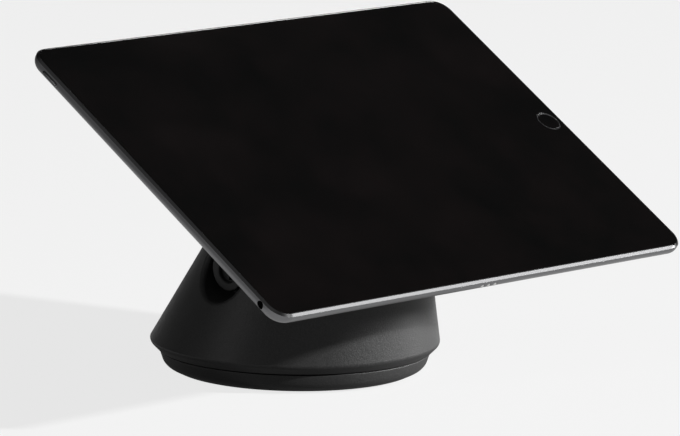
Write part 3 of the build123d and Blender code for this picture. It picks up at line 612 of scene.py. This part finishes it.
def make_glass():
    """Front glass: a plate with round corners, a softened rim and holes for the button and the camera."""
    bpy.ops.object.select_all(action="DESELECT")
    bpy.ops.mesh.primitive_cube_add(
        size=1,
        location=(0, 0, -GLASS_THICKNESS / 2 * MM),
        scale=(GLASS_LENGTH * MM, GLASS_WIDTH * MM, GLASS_THICKNESS * MM),
    )
    glass = bpy.context.object
    glass.name = "glass_plate"
    bpy.ops.object.transform_apply(location=True, scale=True)
    pick_edges(glass, lambda first, second: abs(first.z - second.z) > NEAR)
    round_picked(width=GLASS_CORNER, steps=12)
    pick_rim(glass, lambda point: abs(point.z) < NEAR)
    round_picked(width=0.3, steps=3)
    below = -1.5
    above = 0.5
    lead_in = 0.25
    mouth_radius = HOME_HOLE_RADIUS + lead_in
    home_bore = [(HOME_HOLE_RADIUS, below), (HOME_HOLE_RADIUS, -lead_in)]
    home_mouth = [(mouth_radius, 0.0), (mouth_radius, above)]
    drill_glass(glass, "home_hole", HOME_PLACE, home_bore + home_mouth, segments=128)
    window_radius = FRONT_CAMERA_RADIUS + 0.05
    window_bore = [(window_radius, below), (window_radius, above)]
    drill_glass(glass, "camera_hole", FRONT_CAMERA_PLACE, window_bore, segments=48)
    place(glass, GLASS_TO_WORLD)
    fit(glass, front_black, "tablet", "front_glass", "front_glass", smooth=25)
    # The flat faces shade flat, so that the rim's rounding doesn't bend their reflections
    pick_faces(glass, lambda face: abs(face.normal.dot(GLASS_NORMAL)) > 0.999)
    bpy.ops.mesh.faces_shade_flat()
    bpy.ops.object.mode_set(mode="OBJECT")


def make_home_button():
    """Home button: a satin ring with broken edges round a slightly hollow button."""
    outer = HOME_RING_RADIUS
    inner = HOME_RING_RADIUS - 0.5
    ring_depth = 1.9
    rings = [(inner, 0.0), (outer, 0.0), (outer, -ring_depth), (inner, -ring_depth)]
    ring = turned("button_ring", rings, solid=False)
    soften(ring, width=0.12)
    place(ring, on_glass(HOME_PLACE))
    fit(ring, ring_metal, "tablet", "ring_steel", "home_ring")
    radius = HOME_BUTTON_RADIUS
    centre_radius = 0.3
    hollow_radius = 0.95 * radius
    hollow_edge = -0.1
    hollow_depth = 0.12
    side_height = -0.25
    button_depth = 1.3
    face = []
    for share in shares(steps=8):
        face.append((hollow_radius * share, hollow_edge - hollow_depth * (1 - share**2)))
    side = [(radius, side_height), (radius, -button_depth), (centre_radius, -button_depth)]
    button = turned("button_face", face + side)
    place(button, on_glass(HOME_PLACE))
    fit(button, button_black, "home_button", "button_glass", "home_button")


def make_front_camera():
    """Window of the front camera, flush in the glass."""
    radius = FRONT_CAMERA_RADIUS
    centre_radius = 0.2
    depth = 0.65
    face = [(centre_radius, -0.02), (radius * 0.7, -0.03), (radius - 0.05, -0.06), (radius, -0.12)]
    window = turned("camera_window", face + [(radius, -depth), (centre_radius, -depth)], segments=64)
    place(window, on_glass(FRONT_CAMERA_PLACE))
    fit(window, lens_black, "tablet", "lens_black")


def make_rear_camera():
    """Rear camera: a turned ring and a shallow domed lens in it."""
    back = -TABLET_THICKNESS
    outer = REAR_CAMERA_RADIUS
    flat = outer - 0.5
    inner = outer - 0.9
    ring_end = back + 3.4
    rings = [(outer, ring_end), (outer, back), (flat, back), (inner, back + 0.4), (inner, ring_end)]
    ring = turned("lens_ring", rings, solid=False)
    soften(ring, width=0.08)
    place(ring, on_glass(*REAR_CAMERA_PLACE))
    fit(ring, ring_metal, "tablet", "lens_black", "rear_camera")
    radius = outer - 0.95
    dome_top = back + 0.15
    dome_fall = 0.25
    lens_end = back + 1.2
    centre_radius = 0.3
    dome = [(radius * share, dome_top + dome_fall * share**2) for share in shares(steps=6)]
    lens = turned("lens_glass", dome + [(radius, lens_end), (centre_radius, lens_end)])
    place(lens, on_glass(*REAR_CAMERA_PLACE))
    fit(lens, lens_black, "tablet", "lens_black")


def side_key(name, size, way_out):
    """A key at the origin, size in millimetres: rounded all over, softer still on the side that shows."""
    bpy.ops.object.select_all(action="DESELECT")
    bpy.ops.mesh.primitive_cube_add(size=1, scale=Vector(size) * MM, location=(0, 0, 0))
    key = bpy.context.object
    key.name = name
    bpy.ops.object.transform_apply(scale=True)
    half_flat = 0.02
    pick_edges(key, lambda first, second: True)
    round_picked(width=KEY_HEIGHT / 2 - half_flat, steps=6)
    pick_rim(key, lambda point: abs(point.dot(way_out) - KEY_SPAN / 2 * MM) < NEAR)
    round_picked(width=0.3, steps=3)
    return key


def make_keys():
    """Power key in the left end and the two volume keys in the far side."""
    out_of_edge = KEY_PROUD - KEY_SPAN / 2
    power = side_key("power_button_key", (KEY_SPAN, KEY_LENGTH, KEY_HEIGHT), Vector((-1, 0, 0)))
    place(power, on_glass(-TABLET_LENGTH / 2 - out_of_edge, POWER_KEY_PLACE, -EDGE_DEPTH))
    fit(power, key_metal, "power_button", "key_metal", "power_button")
    volume_up = side_key("volume_up_key", (KEY_LENGTH, KEY_SPAN, KEY_HEIGHT), Vector((0, 1, 0)))
    volume_down = copied(volume_up, "volume_down_key")
    for key, body in ((volume_up, "volume_up"), (volume_down, "volume_down")):
        place(key, on_glass(-VOLUME_KEY_PLACES[body], TABLET_WIDTH / 2 + out_of_edge, -EDGE_DEPTH))
        fit(key, key_metal, body, "key_metal", body)


def make_contacts():
    """Three plated contact pins with domed faces, in the near side."""
    radius = CONTACT_RADIUS
    centre_radius = 0.15
    face = [(centre_radius, 0.0), (radius * 0.5, -0.03), (radius * 0.85, -0.12), (radius, -0.3)]
    shank = [(radius, -CONTACT_LENGTH), (centre_radius, -CONTACT_LENGTH)]
    pins = [turned("contact_pin_1", face + shank, segments=32)]
    for count in (2, 3):
        pins.append(copied(pins[0], f"contact_pin_{count}"))
    towards_user = Matrix.Rotation(math.radians(90), 4, "X")
    for index, pin in enumerate(pins):
        along = CONTACT_PLACE + (index - 1) * CONTACT_PITCH
        place(pin, on_glass(along, CONTACT_SUNK - TABLET_WIDTH / 2, -CONTACT_DEPTH) @ towards_user)
        fit(pin, contact_metal, "tablet", "contact_gold", "contact_pins")


def make_camera():
    """The camera that the photograph was taken from."""
    data = bpy.data.cameras.new("camera")
    data.sensor_width = 36.0
    data.lens = PHOTO_FOCAL * data.sensor_width / PHOTO_WIDTH
    data.clip_start = 0.1
    data.clip_end = 50.0
    camera = bpy.data.objects.new("camera", data)
    bpy.context.scene.collection.objects.link(camera)
    right = CAMERA_RIGHT.normalized()
    up = -CAMERA_DOWN.normalized()
    back = right.cross(up).normalized()
    turn = Matrix((right, back.cross(right), back)).transposed()
    camera.matrix_world = Matrix.Translation(CAMERA_PLACE) @ turn.to_4x4()
    bpy.context.scene.camera = camera


def combine(tree, operation, first, second):
    """Joins two values, or a value and a number, by one operation."""
    node = tree.nodes.new("ShaderNodeMath")
    node.operation = operation
    for socket, value in zip(node.inputs, (first, second)):
        if isinstance(value, float):
            socket.default_value = value
        else:
            tree.links.new(value, socket)
    return node.outputs[0]


def make_floor():
    """A plain pale floor that keeps a faint shadow.

    It looks even to the camera. In reflections it shows a painted glow, with a painted shadow round the foot
    and painted light that fades with the distance.
    """
    bpy.ops.object.select_all(action="DESELECT")
    bpy.ops.mesh.primitive_plane_add(size=40.0, location=(0, 0, 0))
    floor = bpy.context.object
    floor.name = "floor"
    material, shader = new_material("pale_floor", grey(FLOOR_SHADE), roughness=0.9, specular=0.0)
    shader.inputs["Emission Color"].default_value = (1, 1, 1, 1)
    tree = material.node_tree
    coordinates = tree.nodes.new("ShaderNodeTexCoord")
    length = tree.nodes.new("ShaderNodeVectorMath")
    length.operation = "LENGTH"
    tree.links.new(coordinates.outputs["Object"], length.inputs[0])
    reach = length.outputs["Value"]
    bright = 0.65
    # Painted shadow round the foot and painted fall-off of light with the distance, seen only in reflections
    painted_foot_shadow = ramp(tree, reach, start=0.08, end=0.12, low=0.08, high=bright)
    painted_fade_with_distance = ramp(tree, reach, start=0.22, end=0.42, low=bright, high=0.22)
    painted_reflection_level = combine(tree, "MINIMUM", painted_foot_shadow, painted_fade_with_distance)
    path = tree.nodes.new("ShaderNodeLightPath")
    # Reflections see this painted glow; the camera sees only the even glow
    painted_reflection_glow = combine(tree, "MULTIPLY", path.outputs["Is Glossy Ray"], painted_reflection_level)
    direct = combine(tree, "MULTIPLY", path.outputs["Is Camera Ray"], FLOOR_GLOW)
    glow = combine(tree, "MAXIMUM", painted_reflection_glow, direct)
    tree.links.new(glow, shader.inputs["Emission Strength"])
    floor.data.materials.append(material)


def make_world():
    """A studio: a pale backdrop for the camera, dim light from low down and from the left, dark overhead."""
    world = bpy.data.worlds.new("studio")
    bpy.context.scene.world = world
    world.use_nodes = True
    tree = world.node_tree
    light = tree.nodes["Background"]
    way = tree.nodes.new("ShaderNodeTexCoord").outputs["Generated"]
    parts = tree.nodes.new("ShaderNodeSeparateXYZ")
    tree.links.new(way, parts.inputs[0])
    low_down = ramp(tree, parts.outputs["Z"], start=0.3, end=0.5, low=0.07, high=0.015)
    from_left = ramp(tree, parts.outputs["X"], start=-0.6, end=0.0, low=0.08, high=0.0)
    light.inputs["Color"].default_value = (1, 1, 1, 1)
    tree.links.new(combine(tree, "MAXIMUM", low_down, from_left), light.inputs["Strength"])
    backdrop = tree.nodes.new("ShaderNodeBackground")
    backdrop.inputs["Color"].default_value = (*grey(BACKDROP_SHADE), 1)
    path = tree.nodes.new("ShaderNodeLightPath")
    blend = tree.nodes.new("ShaderNodeMixShader")
    tree.links.new(path.outputs["Is Camera Ray"], blend.inputs["Fac"])
    tree.links.new(light.outputs["Background"], blend.inputs[1])
    tree.links.new(backdrop.outputs["Background"], blend.inputs[2])
    tree.links.new(blend.outputs["Shader"], tree.nodes["World Output"].inputs["Surface"])


def lamp(name, azimuth, elevation, distance, size, power):
    """A soft lamp that looks at the tablet, placed by its angles in degrees and its distance in metres.

    The azimuth counts from the stand's right side towards its back.
    """
    data = bpy.data.lights.new(name, "AREA")
    data.shape = "RECTANGLE"
    data.size, data.size_y = size
    data.energy = power
    piece = bpy.data.objects.new(name, data)
    bpy.context.scene.collection.objects.link(piece)
    turn, lift = math.radians(azimuth), math.radians(elevation)
    way = Vector((math.cos(lift) * math.cos(turn), math.cos(lift) * math.sin(turn), math.sin(lift)))
    piece.location = LAMP_TARGET + way * distance
    piece.rotation_euler = way.to_track_quat("Z", "Y").to_euler()
    return piece


def make_lamps():
    """Key lamp, two softboxes for the left rim and the near edge, and two fills that spare the floor."""
    lamp("key", azimuth=-64, elevation=24.5, distance=5.0, size=(0.22, 0.22), power=320)
    front_strip = lamp("front_strip", azimuth=-30, elevation=12, distance=5.0, size=(0.5, 0.35), power=270)
    lamp("front_softbox", azimuth=-44, elevation=9, distance=2.2, size=(1.0, 0.3), power=1.6)
    lamp("rim_softbox", azimuth=165, elevation=20, distance=2.2, size=(0.5, 0.5), power=3.0)
    back_softbox = lamp("back_softbox", azimuth=44, elevation=26, distance=3.0, size=(1.2, 0.8), power=50)
    # The fills light the object alone, so that they cast no shadow of their own on the floor
    object_only = bpy.data.collections.new("object_only")
    for piece in bpy.context.scene.objects:
        if piece.type == "MESH" and piece.name != "floor":
            object_only.objects.link(piece)
    for fill in (front_strip, back_softbox):
        fill.light_linking.receiver_collection = object_only


make_camera()
make_foot()
make_plinth()
make_dish()
make_cup()
make_glass()
make_home_button()
make_front_camera()
make_rear_camera()
make_keys()
make_contacts()
make_floor()
make_world()
make_lamps()

bpy.context.scene.view_settings.view_transform = "Standard"
